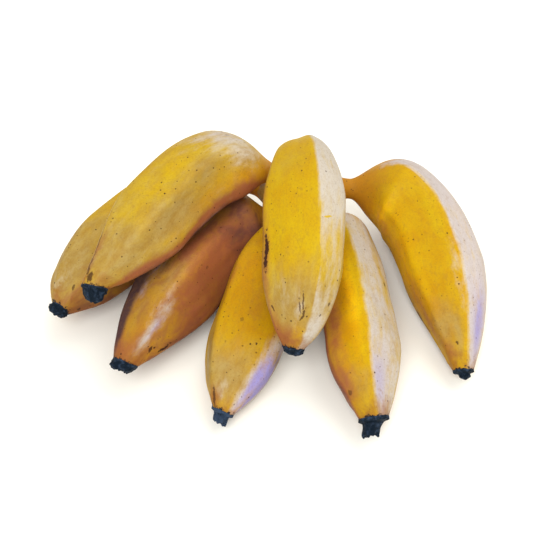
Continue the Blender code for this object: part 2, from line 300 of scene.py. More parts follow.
def section_and_faces(angles, ridges):
    """For each ring and column: the share of the full radius, the face it lies on and its place
    across that face, from 0 at one ridge to 1 at the next."""
    rings, columns = len(ridges), len(angles)
    total = np.zeros((rings, columns))
    face = np.zeros((rings, columns), int)
    place = np.zeros((rings, columns))
    degrees = np.degrees(angles)[None, :]
    for k in range(SIDES):
        first = ridges[:, k][:, None]
        last = ridges[:, (k + 1) % SIDES][:, None] + (360 if k == SIDES - 1 else 0)
        width = last - first
        toward = np.cos(np.radians(degrees - (first + last) / 2))
        total += (np.maximum(toward, 0) / np.cos(np.radians(width / 2))) ** FOLD_SHARPNESS
        within = (degrees - first) % 360
        here = within < width
        face = np.where(here, k, face)
        place = np.where(here, within / width, place)
    faceted = total ** (-1 / FOLD_SHARPNESS)
    return (1 - ROUNDNESS) * faceted + ROUNDNESS * FLAT_TO_ROUND, face, place


def ring_mesh(name, rings, values, vectors):
    """A closed mesh over rows of points in millimetres, with named values stored on its points."""
    count, around = rings.shape[:2]
    ends = np.stack((rings[0].mean(axis=0), rings[-1].mean(axis=0)))
    points = np.vstack((rings.reshape(-1, 3), ends)) * MM
    row, col = np.meshgrid(np.arange(count - 1), np.arange(around), indexing="ij")
    near, nxt = row * around + col, row * around + (col + 1) % around
    quads = np.stack((near, nxt, nxt + around, near + around), axis=-1).reshape(-1, 4)
    faces = quads.tolist()
    first, last = count * around, count * around + 1
    faces += [(first, (i + 1) % around, i) for i in range(around)]
    top = (count - 1) * around
    faces += [(last, top + i, top + (i + 1) % around) for i in range(around)]
    mesh = bpy.data.meshes.new(name)
    mesh.from_pydata(points.tolist(), [], faces)
    for key, value in values.items():
        data = np.append(value.ravel(), (value[0].mean(), value[-1].mean())).astype(np.float32)
        mesh.attributes.new(key, "FLOAT", "POINT").data.foreach_set("value", data)
    for key, value in vectors.items():
        data = np.vstack((value.reshape(-1, 3), value[0].mean(axis=0), value[-1].mean(axis=0)))
        stored = mesh.attributes.new(key, "FLOAT_VECTOR", "POINT").data
        stored.foreach_set("vector", data.astype(np.float32).ravel())
    check = bmesh.new()
    check.from_mesh(mesh)
    if check.calc_volume(signed=True) < 0:
        bmesh.ops.reverse_faces(check, faces=check.faces)
    check.to_mesh(mesh)
    check.free()
    mesh.shade_smooth()
    obj = bpy.data.objects.new(name, mesh)
    bpy.context.scene.collection.objects.link(obj)
    return obj


def peel_tones(finger, face, place, arc, along, angles):
    """Each tone at each point: the faces' own tones meet at the ridges, with soft patches over them."""
    body = ease((along - TONES_START) / TONES_GROW_OVER)[..., None]
    own = np.array(finger["faces"])
    beside = np.where(place < 0.5, face - 1, face + 1) % SIDES
    shared = 0.5 * (1 - ease(arc / finger.get("blend", FACE_BLEND)))[..., None]
    tones = own[face] * (1 - shared) + own[beside] * shared
    tones = tones * body + np.array(GOLD) * (1 - body)
    degrees = np.degrees(angles)[None, :]
    for tone, patches in finger["patches"].items():
        for middle, angle, half_length, half_width, strength in patches:
            aside = (degrees - angle + 180) % 360 - 180
            spread = ((along - middle) / half_length) ** 2 + (aside / half_width) ** 2
            tones[..., TONES.index(tone)] += strength * np.exp(-spread)
    return np.clip(tones, 0, 1)


def finger_reach(finger, distance, angles, section, seed):
    """How far the skin lies from the middle line at each ring and column, and its unbent points."""
    along = (distance - finger["stalk"]) / finger["body"]
    grown = ease((along - RIDGES_GROWN + RIDGES_GROW_OVER) / RIDGES_GROW_OVER)
    faded = 1 - RIDGE_LOSS * ease((along - RIDGES_FADE) / (1 - RIDGES_FADE))
    ridged = (grown * faded)[:, None]
    reach = body_radius(finger, distance)[:, None] * (ridged * section + (1 - ridged) * ROUND_SHARE)
    ahead = np.repeat(distance[:, None], COLUMNS, 1)
    straight = np.stack((reach * np.cos(angles), reach * np.sin(angles), ahead), -1)
    swell = waves(straight * (1, 1, BROAD_DRAWN), BROAD_SWELL, seed) * BROAD_HEIGHT
    swell = swell + waves(straight * (1, 1, SMALL_DRAWN), SMALL_SWELL, seed + 50) * SMALL_HEIGHT
    settle = ease((along - SWELLS_START) / SWELLS_GROW_OVER) * ease((1 - along) / SWELLS_END_OVER)
    reach = reach + swell * settle[:, None]
    for middle, angle, half_length, half_width, height in finger["fuller"]:
        aside = (np.degrees(angles) - angle + 180) % 360 - 180
        near = ((along - middle) / half_length) ** 2
        reach = reach + height * np.exp(-near[:, None] - (aside / half_width)[None, :] ** 2)
    return reach, straight


def finger_piece(name, finger, seed):
    distance = np.linspace(0, finger["stalk"] + finger["body"], RINGS)
    angles = np.linspace(0, 2 * math.pi, COLUMNS, endpoint=False)
    centre, forward, normals, across = centreline(finger, distance)
    section, face, place = section_and_faces(angles, wandering_ridges(finger, distance, seed))
    reach, straight = finger_reach(finger, distance, angles, section, seed)
    out = np.cos(angles)[None, :, None] * normals[:, None, :] + np.sin(angles)[None, :, None] * across
    rings = centre[:, None, :] + reach[..., None] * out
    along = (distance - finger["stalk"]) / finger["body"]
    slant = np.cos(angles - math.radians(finger["skew_angle"]))
    slant = ease((along - SKEW_START) / (1 - SKEW_START))[:, None] * slant
    rings += (finger["skew"] * slant)[..., None] * forward[:, None, :]
    rings[..., 2] = np.maximum(rings[..., 2], 0.0)
    along = np.repeat(along[:, None], COLUMNS, 1)
    face_angle = math.radians(360 / SIDES)
    arc = np.minimum(place, 1 - place) * body_radius(finger, distance)[:, None] * face_angle
    tones = peel_tones(finger, face, place, arc, along, angles)
    values = {tone: tones[..., i] for i, tone in enumerate(TONES)}
    values.update(along=along)
    vectors = dict(skin=straight + (0, 0, FINGER_SPACING * seed))
    piece = ring_mesh("finger_" + name, rings, values, vectors)
    piece.data.materials.append(peel)
    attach(piece, "root")
    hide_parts("banana_hand")


# Colours of the peel in linear light, and the sizes of its mottling in millimetres
RIPE_YELLOW = (0.480, 0.308, 0.003, 1)
DEEP_GOLD = (0.415, 0.200, 0.001, 1)
WORN_TAN = (0.265, 0.150, 0.030, 1)
WORN_PALE = (0.360, 0.260, 0.085, 1)
# The pale colours are partly waxy bloom and partly a painted sheen of a cool light; the violet is a painted
# cool reflection
CREAM_BLOOM = (0.475, 0.425, 0.355, 1)
LILAC_BLOOM = (0.420, 0.370, 0.390, 1)
VIOLET_BLOOM = (0.220, 0.195, 0.460, 1)
# Red-brown: partly the peel's own red-brown and partly painted warm shade on the sides away from the light
RED_BROWN = (0.240, 0.066, 0.030, 1)
# Painted shade: the dark brown put where shade falls between and under the fingers
DUSK_BROWN = (0.045, 0.022, 0.028, 1)
STALK_BROWN = (0.44, 0.175, 0.012, 1)
TIP_BROWN = (0.24, 0.085, 0.014, 1)
FRECKLE_TAN = (0.27, 0.135, 0.020, 1)
GRAIN_BROWN = (0.17, 0.075, 0.018, 1)
SPECK_BROWN = (0.040, 0.014, 0.007, 1)
MARK_RED = (0.095, 0.028, 0.014, 1)
TIP_BLACK = (0.005, 0.008, 0.014, 1)
# How much the painted light lifts the colour where shade falls
BRIGHTER = 0.9
BLOTCH = 13.0
MOTTLE = 7.0
PATCHY = 4.5
FRECKLE = 2.8
STREAK = 2.4
FINE = 1.6
GRAIN = 0.9

# Specks and larger spots: one in a share of the cells, and how crooked a mark's edge is
SPECK_CELL, SPECK_RADIUS, SPECK_SHARE = 2.1, 0.40, 0.50
SPOT_CELL, SPOT_RADIUS, SPOT_SHARE = 7.5, 0.8, 0.20
CROOK_SIZE, CROOK_REACH = 3.0, 1.6

# Single marks on the peel: the finger, the place along its body and the angle, the half length along
# the finger, the half width around it, the slant in degrees and the strength; a mark fades out between
# two shares of its half sizes
MARK_DEPTH = 6.0
MARK_FADE = (1.15, 0.75)
DARK_MARKS = (
    ("centre_top", 0.655, 289, 8.5, 1.1, 0, 1.0), ("centre_top", 0.822, 359, 4.6, 0.42, 8, 0.75),
    ("centre_top", 0.862, 1, 2.8, 0.5, -14, 0.8), ("centre_top", 0.84, 354, 2.4, 0.35, 12, 0.7),
    ("centre_top", 0.853, 296, 1.4, 0.5, 20, 0.8), ("centre_top", 0.857, 30, 0.9, 0.5, 0, 0.7),
    ("centre_top", 0.82, 40, 0.9, 0.6, 0, 0.7), ("centre_top", 0.761, 326, 0.5, 0.5, 0, 0.8),
    ("right", 0.60, 148, 4.5, 0.8, 4, 0.85), ("right", 0.70, 148, 4.5, 0.9, -6, 0.9),
    ("right", 0.77, 152, 3.5, 0.5, 8, 0.7), ("right", 0.908, 246, 0.8, 0.7, 0, 0.75),
    ("top_left", 0.787, 359, 1.0, 0.9, 0, 0.95), ("top_left", 0.85, 7, 6.5, 0.4, 3, 0.6),
    ("top_left", 0.93, 10, 4.0, 0.5, -6, 0.6), ("top_left", 0.972, 30, 1.8, 1.4, 20, 0.85),
    ("top_left", 0.955, 13, 1.5, 0.7, 0, 0.7), ("near_left", 0.91, 166, 1.5, 0.7, 30, 0.9),
    ("near_left", 0.89, 172, 0.8, 0.6, 0, 0.9), ("near_left", 0.855, 190, 4.5, 0.8, 0, 0.95),
    ("front_left", 0.965, 336, 4.5, 0.6, 0, 0.75), ("front_left", 0.737, 28, 0.6, 0.6, 0, 0.9),
    ("front_left", 0.728, 38, 0.6, 0.6, 0, 0.9), ("front_right", 0.378, 4, 1.6, 0.6, 10, 0.85),
    ("front_right", 0.80, 18, 1.3, 0.7, 0, 0.85), ("front_right", 0.905, 234, 1.0, 0.8, 0, 0.6),
    ("far_left", 0.962, 192, 0.9, 0.8, 0, 0.8), ("far_left", 0.93, 120, 1.2, 0.6, 20, 0.7),
)
SCRAPED_MARKS = (
    ("centre_top", 0.545, 20, 0.42, 2.3, 14, 0.9), ("right", 0.60, 262, 0.5, 2.6, 40, 0.3),
)


class Paint:
    """Short words for building a material's nodes."""

    def __init__(self, name):
        self.material = bpy.data.materials.new(name)
        self.material.use_nodes = True
        self.tree = self.material.node_tree
        self.shader = self.tree.nodes["Principled BSDF"]

    def node(self, kind, **settings):
        made = self.tree.nodes.new("ShaderNode" + kind)
        for key, value in settings.items():
            setattr(made, key, value)
        return made

    def put(self, socket, value):
        if isinstance(value, bpy.types.NodeSocket):
            self.tree.links.new(value, socket)
        else:
            socket.default_value = value

    def value(self, name):
        return self.node("Attribute", attribute_name=name).outputs["Fac"]

    def vector(self, name, scale=(1, 1, 1)):
        source = self.node("Attribute", attribute_name=name).outputs["Vector"]
        mapping = self.node("Mapping")
        self.put(mapping.inputs["Vector"], source)
        mapping.inputs["Scale"].default_value = scale
        return mapping.outputs["Vector"]

    def noise(self, vector, size, detail=3.0, rough=0.55, twist=0.0):
        made = self.node("TexNoise")
        self.put(made.inputs["Vector"], vector)
        made.inputs["Scale"].default_value = 1 / size
        made.inputs["Detail"].default_value = detail
        made.inputs["Roughness"].default_value = rough
        made.inputs["Distortion"].default_value = twist
        return made.outputs["Fac"]

    def crooked(self, vector, size, reach):
        """The vector pushed about by up to half of reach, so that straight marks come out crooked."""
        made = self.node("TexNoise")
        self.put(made.inputs["Vector"], vector)
        made.inputs["Scale"].default_value = 1 / size
        centred = self.node("VectorMath", operation="SUBTRACT")
        self.put(centred.inputs[0], made.outputs["Color"])
        centred.inputs[1].default_value = (0.5, 0.5, 0.5)
        pushed = self.node("VectorMath", operation="MULTIPLY_ADD")
        self.put(pushed.inputs[0], centred.outputs[0])
        pushed.inputs[1].default_value = (reach, reach, reach)
        self.put(pushed.inputs[2], vector)
        return pushed.outputs[0]

    def math(self, operation, first, second=0.5):
        made = self.node("Math", operation=operation)
        self.put(made.inputs[0], first)
        self.put(made.inputs[1], second)
        return made.outputs[0]

    def step(self, value, low, high, bottom=0.0, top=1.0):
        made = self.node("MapRange", interpolation_type="SMOOTHSTEP")
        for socket, number in zip(made.inputs[:5], (value, low, high, bottom, top)):
            self.put(socket, number)
        return made.outputs[0]

    def mix(self, share, first, second):
        made = self.node("Mix", data_type="RGBA")
        self.put(made.inputs["Factor"], share)
        colours = [socket for socket in made.inputs if socket.type == "RGBA"]
        self.put(colours[0], first)
        self.put(colours[1], second)
        return [socket for socket in made.outputs if socket.type == "RGBA"][0]

    def cover(self, tone, uneven, low, high, top):
        """How much a tone covers: uneven along its edges, and nothing where the face has none of it."""
        amount = self.step(self.math("ADD", self.value(tone), uneven), low, high, 0.0, top)
        return self.math("MULTIPLY", amount, self.step(self.value(tone), 0, 0.25))

    def dots(self, vector, cell, radius, share, waver=None):
        """Small marks, one in some of the cells; waver, if given, makes their edges uneven."""
        made = self.node("TexVoronoi")
        self.put(made.inputs["Vector"], vector)
        made.inputs["Scale"].default_value = 1 / cell
        split = self.node("SeparateColor")
        self.put(split.inputs[0], made.outputs["Color"])
        chosen = self.math("LESS_THAN", split.outputs[0], share)
        uneven = self.math("MULTIPLY", split.outputs[1], radius / cell)
        edge = self.math("SUBTRACT", uneven, made.outputs["Distance"])
        if waver is not None:
            edge = self.math("ADD", edge, self.math("MULTIPLY", waver, radius / cell))
        inside = self.step(edge, -0.2 * radius / cell, 0.15 * radius / cell)
        return self.math("MULTIPLY", chosen, inside)

    def mark(self, skin, uneven, row):
        """How much one drawn-out mark covers each point; its edge wavers with the uneven value."""
        name, along, angle, half_length, half_width, slant, strength = row
        finger = FINGERS[name]
        seed = FINGER_SEEDS[name]
        distance = np.array([finger["stalk"] + along * finger["body"]])
        around = np.radians([angle])
        section, _, _ = section_and_faces(around, wandering_ridges(finger, distance, seed))
        reach = body_radius(finger, distance)[0] * section[0, 0]
        outward = Vector((math.cos(around[0]), math.sin(around[0]), 0))
        aside = Vector((-outward.y, outward.x, 0))
        ahead = Vector((0, 0, 1))
        tilt = math.radians(slant)
        longways = math.cos(tilt) * ahead + math.sin(tilt) * aside
        turned = Matrix((outward, longways.cross(outward), longways)).transposed()
        place = self.node("Mapping", vector_type="TEXTURE")
        self.put(place.inputs["Vector"], skin)
        height = distance[0] + FINGER_SPACING * seed
        place.inputs["Location"].default_value = outward * reach + ahead * height
        place.inputs["Rotation"].default_value = turned.to_euler()
        place.inputs["Scale"].default_value = (MARK_DEPTH, half_width, half_length)
        far = self.node("VectorMath", operation="LENGTH")
        self.put(far.inputs[0], place.outputs[0])
        wavering = self.math("ADD", far.outputs["Value"], uneven)
        return self.step(wavering, *MARK_FADE, 0.0, strength)

    def marks(self, skin, uneven, rows):
        covers = [self.mark(skin, uneven, row) for row in rows]
        total = covers[0]
        for cover in covers[1:]:
            total = self.math("MAXIMUM", total, cover)
        return total

    def bump(self, height, strength, distance, below=None):
        made = self.node("Bump")
        made.inputs["Strength"].default_value = strength
        made.inputs["Distance"].default_value = distance
        self.put(made.inputs["Height"], height)
        if below is not None:
            self.put(made.inputs["Normal"], below)
        return made.outputs["Normal"]


def peel_material():
    paint = Paint("peel")
    skin = paint.vector("skin")
    along = paint.value("along")
    blotch = paint.noise(skin, BLOTCH, 4, 0.6, 0.4)
    mottle = paint.noise(paint.vector("skin", (1, 1, 0.6)), MOTTLE, 5, 0.62, 0.5)
    patchy = paint.noise(paint.vector("skin", (1, 1, 0.45)), PATCHY, 5, 0.6)
    streak = paint.noise(paint.vector("skin", (1, 1, 0.16)), STREAK, 4, 0.6)
    fine = paint.noise(skin, FINE, 4, 0.7)
    grain = paint.noise(skin, GRAIN, 3, 0.75)
    unevenness = paint.step(mottle, 0.3, 0.7, -0.16, 0.16)
    streaked = paint.step(streak, 0.3, 0.7, -0.10, 0.10)

    # Lemon yellow that deepens to gold in broad soft patches
    deep = paint.math("ADD", paint.value("deep"), paint.step(blotch, 0.3, 0.7, -0.22, 0.22))
    colour = paint.mix(paint.math("ADD", deep, streaked), RIPE_YELLOW, DEEP_GOLD)

    # Greyish tan where the peel has rubbed
    worn = paint.cover("tan", paint.math("MULTIPLY", unevenness, 0.75), 0.10, 0.95, 0.92)
    rubbed = paint.mix(paint.step(patchy, 0.20, 0.80), WORN_TAN, WORN_PALE)
    colour = paint.mix(worn, colour, rubbed)

    # Red-brown sides, partly real red-brown peel and partly painted warm shade, and painted dark shade
    # on the sides away from the light and between the fingers, both uneven along their edges
    colour = paint.mix(paint.cover("russet", unevenness, 0.05, 1.0, 0.92), colour, RED_BROWN)
    colour = paint.mix(paint.cover("dusk", unevenness, 0.05, 1.0, 0.95), colour, DUSK_BROWN)

    # Pale bloom with a painted sheen of a cool light, cream to violet, worn through to the yellow in soft
    # lengthwise patches
    hazy = paint.mix(paint.step(paint.value("violet"), 0.0, 0.6), CREAM_BLOOM, LILAC_BLOOM)
    hazy = paint.mix(paint.step(paint.value("violet"), 0.4, 1.0, 0.0, 0.9), hazy, VIOLET_BLOOM)
    cover = paint.math("ADD", paint.value("bloom"), paint.step(patchy, 0.24, 0.76, -0.26, 0.20))
    cover = paint.step(paint.math("ADD", cover, streaked), 0.08, 0.98, 0.0, 0.96)
    cover = paint.math("MULTIPLY", cover, paint.step(paint.value("bloom"), 0.02, 0.30))
    colour = paint.mix(cover, colour, hazy)

    # Painted light: lighter where shade falls from the fingers beside, lifting that shade
    brighter = paint.node("HueSaturation")
    paint.put(brighter.inputs["Color"], colour)
    gain = paint.math("MULTIPLY", paint.value("bright"), BRIGHTER)
    paint.put(brighter.inputs["Value"], paint.math("ADD", gain, 1.0))
    colour = brighter.outputs["Color"]

    # Browner stalk, and brown just before the black tip
    stalk = paint.math("ADD", along, paint.step(streak, 0.2, 0.8, -0.04, 0.04))
    colour = paint.mix(paint.step(stalk, 0.12, -0.06, 0.0, 0.85), colour, STALK_BROWN)
    tip = paint.math("ADD", along, paint.step(fine, 0.25, 0.75, -0.012, 0.012))
    browned = paint.math("ADD", tip, paint.step(mottle, 0.3, 0.7, -0.03, 0.03))
    colour = paint.mix(paint.step(browned, 0.93, 1.01, 0.0, 0.65), colour, TIP_BROWN)

    # Faint tan freckling, then fine brown grain, specks that gather in places, larger spots, single
    # marks and the black edge
    freckle = paint.noise(paint.vector("skin", (1, 1, 0.7)), FRECKLE, 5, 0.7, 0.4)
    colour = paint.mix(paint.step(freckle, 0.50, 0.72, 0.0, 0.30), colour, FRECKLE_TAN)
    colour = paint.mix(paint.step(grain, 0.42, 0.78, 0.0, 0.30), colour, GRAIN_BROWN)
    gathered = paint.step(blotch, 0.38, 0.58, 0.30, 1.0)
    waver = paint.step(fine, 0.25, 0.75, -0.45, 0.45)
    crooked = paint.crooked(skin, CROOK_SIZE, CROOK_REACH)
    specks = paint.dots(skin, SPECK_CELL, SPECK_RADIUS, SPECK_SHARE, waver)
    specks = paint.math("MULTIPLY", specks, gathered)
    spots = paint.dots(paint.vector("skin", (1, 1, 0.7)), SPOT_CELL, SPOT_RADIUS, SPOT_SHARE, waver)
    scraped = paint.marks(crooked, waver, SCRAPED_MARKS)
    dark = paint.marks(crooked, waver, DARK_MARKS)
    colour = paint.mix(scraped, colour, RIPE_YELLOW)
    colour = paint.mix(paint.math("MULTIPLY", specks, 0.9), colour, SPECK_BROWN)
    colour = paint.mix(paint.math("MULTIPLY", spots, 0.40), colour, SPECK_BROWN)
    marked = paint.mix(paint.step(fine, 0.28, 0.46), MARK_RED, SPECK_BROWN)
    colour = paint.mix(dark, colour, marked)
    colour = paint.mix(paint.step(tip, 0.992, 1.0), colour, TIP_BLACK)
    paint.put(paint.shader.inputs["Base Color"], colour)

    rough = paint.step(fine, 0.3, 0.7, 0.46, 0.60)
    rough = paint.math("ADD", rough, paint.math("MULTIPLY", cover, 0.12))
    paint.put(paint.shader.inputs["Roughness"], rough)
    paint.shader.inputs["Specular IOR Level"].default_value = 0.08
    low = paint.bump(patchy, 0.14, 0.0010)
    high = paint.bump(fine, 0.20, 0.0003, low)
    pits = paint.bump(paint.math("ADD", paint.math("ADD", specks, spots), dark), -0.4, 0.0003, high)
    paint.put(paint.shader.inputs["Normal"], pits)
    return paint.material


FINGER_SEEDS = {name: 11 + i for i, name in enumerate(FINGERS)}
peel = peel_material()
for name, finger in FINGERS.items():
    finger_piece(name, finger, FINGER_SEEDS[name])

# The crown: the knot of tough green-brown tissue where all the stalks meet. A knife cut it from the
# bunch's stem, so its back is a flat face that dried brown, with the ends of its fibres showing.
CROWN_MIDDLE = np.array((18, 45, 29)) - HAND_MIDDLE
CROWN_HALF = np.array((18, 16, 15))
CROWN_CUT_Y = 58 - HAND_MIDDLE[1]
CROWN_SQUARENESS = 2.4
CROWN_VOXEL = 0.9
STALK_FOOT, FOOT_RINGS, FOOT_SIDES = 11.0, 9, 20
FOOT_THICKER, FOOT_THINNER = 0.5, -0.3
FIBRE_SPREAD, FIBRE_SIZE, FIBRE_HEIGHT = 14, 3.5, 0.16
FIBRE_DRAWN = (0.25, 0.2)
CUT_EDGE, CUT_SWELL, CUT_ROUGH = 1.2, 5, 0.1
CROWN_FIBRE, CROWN_BLOTCH = 1.6, 8.0
FIBRE_END_CELL, FIBRE_END_RADIUS, FIBRE_END_SHARE = 1.5, 0.8, 0.6
CROWN_OLIVE = (0.36, 0.20, 0.025, 1)
CROWN_BROWN = (0.16, 0.07, 0.018, 1)
CUT_BROWN = (0.075, 0.035, 0.018, 1)
CUT_FIBRE = (0.30, 0.20, 0.11, 1)


def knot_shape():
    """The squarish ball and the thick feet of the seven stalks, as loose closed shapes."""
    shape = bmesh.new()
    bmesh.ops.create_icosphere(shape, subdivisions=5, radius=1.0)
    for vert in shape.verts:
        out = np.array(vert.co)
        stretch = (np.abs(out) ** CROWN_SQUARENESS).sum() ** (-1 / CROWN_SQUARENESS)
        vert.co = Vector(CROWN_MIDDLE + stretch * out * CROWN_HALF) * MM
    for finger in FINGERS.values():
        distance = np.linspace(0, STALK_FOOT, FOOT_RINGS)
        centre, _, normals, across = centreline(finger, distance)
        radius = body_radius(finger, distance) + np.linspace(FOOT_THICKER, FOOT_THINNER, FOOT_RINGS)
        angles = np.linspace(0, 2 * math.pi, FOOT_SIDES, endpoint=False)
        out = np.cos(angles)[None, :, None] * normals[:, None, :] + np.sin(angles)[None, :, None] * across
        rings = centre[:, None, :] + radius[:, None, None] * out
        loops = [[shape.verts.new(Vector(point) * MM) for point in ring] for ring in rings]
        for near, far in zip(loops, loops[1:]):
            for i in range(FOOT_SIDES):
                shape.faces.new((near[i], near[i - 1], far[i - 1], far[i]))
        shape.faces.new(loops[0])
        shape.faces.new(reversed(loops[-1]))
    bmesh.ops.recalc_face_normals(shape, faces=shape.faces)
    return shape


def one_skin(piece):
    """Grows the loose shapes of a piece together and softens the joins."""
    remesh = piece.modifiers.new("one skin", "REMESH")
    remesh.mode = "VOXEL"
    remesh.voxel_size = CROWN_VOXEL * MM
    soften = piece.modifiers.new("soften", "SMOOTH")
    soften.factor = 0.5
    soften.iterations = 10
    graph = bpy.context.evaluated_depsgraph_get()
    mesh = bpy.data.meshes.new_from_object(piece.evaluated_get(graph))
    piece.modifiers.clear()
    piece.data = mesh


def crown_piece():
    shape = knot_shape()
    mesh = bpy.data.meshes.new("crown")
    shape.to_mesh(mesh)
    shape.free()
    piece = bpy.data.objects.new("crown", mesh)
    bpy.context.scene.collection.objects.link(piece)
    one_skin(piece)
    mesh = piece.data
    points = np.empty(len(mesh.vertices) * 3)
    mesh.vertices.foreach_get("co", points)
    points = points.reshape(-1, 3) / MM
    away = points - CROWN_MIDDLE
    around = np.arctan2(away[:, 0], away[:, 2]) * FIBRE_SPREAD
    drawn = np.stack((around, away[:, 1] * FIBRE_DRAWN[0], away[:, 2] * FIBRE_DRAWN[1]), -1)
    fibres = waves(drawn, FIBRE_SIZE, seed=7)
    points += away / np.linalg.norm(away, axis=1)[:, None] * (fibres * FIBRE_HEIGHT)[:, None]
    cut = ease((points[:, 1] - CROWN_CUT_Y + CUT_EDGE) / CUT_EDGE)
    rough = waves(points * (1, 0, 1), CUT_SWELL, seed=3) * CUT_ROUGH - CUT_ROUGH
    points[:, 1] = np.where(points[:, 1] > CROWN_CUT_Y, CROWN_CUT_Y + rough, points[:, 1])
    mesh.vertices.foreach_set("co", (points * MM).ravel())
    mesh.attributes.new("cut", "FLOAT", "POINT").data.foreach_set("value", cut.astype(np.float32))
    skin = mesh.attributes.new("skin", "FLOAT_VECTOR", "POINT").data
    skin.foreach_set("vector", points.astype(np.float32).ravel())
    mesh.update()
    mesh.shade_smooth()
    mesh.materials.clear()
    mesh.materials.append(crown_material())
    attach(piece, "root")
    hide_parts("banana_hand")


def crown_material():
    paint = Paint("crown")
    skin = paint.vector("skin")
    fibre = paint.noise(paint.vector("skin", (1, 0.2, 1)), CROWN_FIBRE, 5, 0.7)
    blotch = paint.noise(skin, CROWN_BLOTCH, 4, 0.6, 0.6)
    cut = paint.value("cut")
    colour = paint.mix(paint.step(blotch, 0.4, 0.65), CROWN_OLIVE, CROWN_BROWN)
    colour = paint.mix(paint.step(fibre, 0.5, 0.75, 0.0, 0.5), colour, SPECK_BROWN)
    across = paint.vector("skin", (1, 0.01, 1))
    ends = paint.dots(across, FIBRE_END_CELL, FIBRE_END_RADIUS, FIBRE_END_SHARE)
    face = paint.mix(ends, CUT_BROWN, CUT_FIBRE)
    face = paint.mix(paint.step(blotch, 0.45, 0.7, 0.0, 0.8), face, SPECK_BROWN)
    colour = paint.mix(cut, colour, face)
    paint.put(paint.shader.inputs["Base Color"], colour)
    paint.put(paint.shader.inputs["Roughness"], paint.step(fibre, 0.3, 0.7, 0.55, 0.8))
    low = paint.bump(fibre, 0.5, 0.0008)
    paint.put(paint.shader.inputs["Normal"], paint.bump(ends, 0.5, 0.0004, low))
    return paint.material


crown_piece()

# The flower ends: where each flower withered on the fruit it left a hard, blue-black collar and a
# ragged stub. They sit over the blunt tip of each finger and are brittle and dry.
# Each one's length past the tip, the share of the tip's radius at its rim, waist and end, how lobed
# it is and where its fullest lobe points, how ragged its end is, how slate-blue it is, and how far
# its end leans towards the finger's outer side and across it.
FLOWER_ENDS = {
    "far_left": dict(length=4.2, rim=0.98, waist=0.84, end=0.45, lobes=0.28, lobe_angle=10,
                     ragged=0.9, slate=0.1, drift=(0.4, 0.6)),
    "top_left": dict(length=6.0, rim=0.97, waist=0.68, end=0.26, lobes=0.16, lobe_angle=0,
                     ragged=0.9, slate=0.1, drift=(-3.4, 0)),
    "near_left": dict(length=5.6, rim=0.99, waist=0.86, end=0.66, lobes=0.08, lobe_angle=0,
                      ragged=0.7, slate=0.1, drift=(0.6, 0.4)),
    "front_left": dict(length=6.0, rim=1.0, waist=0.61, end=0.53, lobes=0.05, lobe_angle=90,
                       ragged=0.7, slate=1.0, drift=(0, 0.2)),
    "centre_top": dict(length=4.2, rim=0.98, waist=0.80, end=0.30, lobes=0.05, lobe_angle=90,
                       ragged=0.5, slate=0.2, drift=(0, 0.4)),
    "front_right": dict(length=8.2, rim=0.99, waist=0.56, end=0.50, lobes=0.06, lobe_angle=0,
                        ragged=1.0, slate=0.1, drift=(-2.6, 0.4)),
    "right": dict(length=4.8, rim=0.97, waist=0.48, end=0.10, lobes=0.06, lobe_angle=0,
                  ragged=0.3, slate=0.1, drift=(0.4, 0)),
}
COLLAR_BACK = 0.35
COLLAR_ROWS = 60
COLLAR_COLUMNS = 84
CREASE, CREASE_DEPTH = 2.6, 0.30
WRINKLE, WRINKLE_DEPTH = 1.2, 0.14
EDGE_WAVE, EDGE_HEIGHT = 4.0, 0.18
EDGE_NICK, NICK_HEIGHT = 1.6, 0.12
TEAR = 2.6
FREE_FROM, FREE_OVER = 0.2, 1.4
HELD_CRUMPLE = 0.25
# How much paler the painted highlight makes the rim, and how much paler a slate-blue end is
PALE_EDGE, PALE_SLATE = 0.10, 0.22
END_SPACING = 60
DRIED_FIBRE, DRIED_FLAKE = 1.2, 2.5
DRIED_BLACK = (0.001, 0.006, 0.013, 1)
DRIED_BLUE = (0.026, 0.044, 0.078, 1)
DRIED_BROWN = (0.012, 0.008, 0.009, 1)

# The stations of an end's line up to which its rim is nicked, around which a painted highlight lies on
# its edge, and between which its end is torn
NICKED_TO = 2.2
LIT_AT, LIT_OVER = 1.4, 0.8
TORN_FROM, TORN_GROW_OVER = 5.6, 2.4
TORN_TO, TORN_FADE_OVER = 10.5, 1.5


def flower_end_line(end):
    """How far ahead of the tip each station lies, from the collar's back over its rim and waist to
    the torn end and into it, and the share of the tip's radius there."""
    length, rim, waist, last = (end[key] for key in ("length", "rim", "waist", "end"))
    return np.array((
        (-COLLAR_BACK, 0.95 * rim), (-0.2, rim), (0.4, 0.99 * rim),
        (0.5 + 0.14 * length, 0.92 * rim), (0.6 + 0.22 * length, waist + 0.05),
        (0.5 * length, waist), (0.72 * length, 0.96 * waist), (0.9 * length, 0.5 * (waist + last)),
        (length, last), (0.97 * length, 0.5 * last), (0.94 * length, 0.1 * last))).T


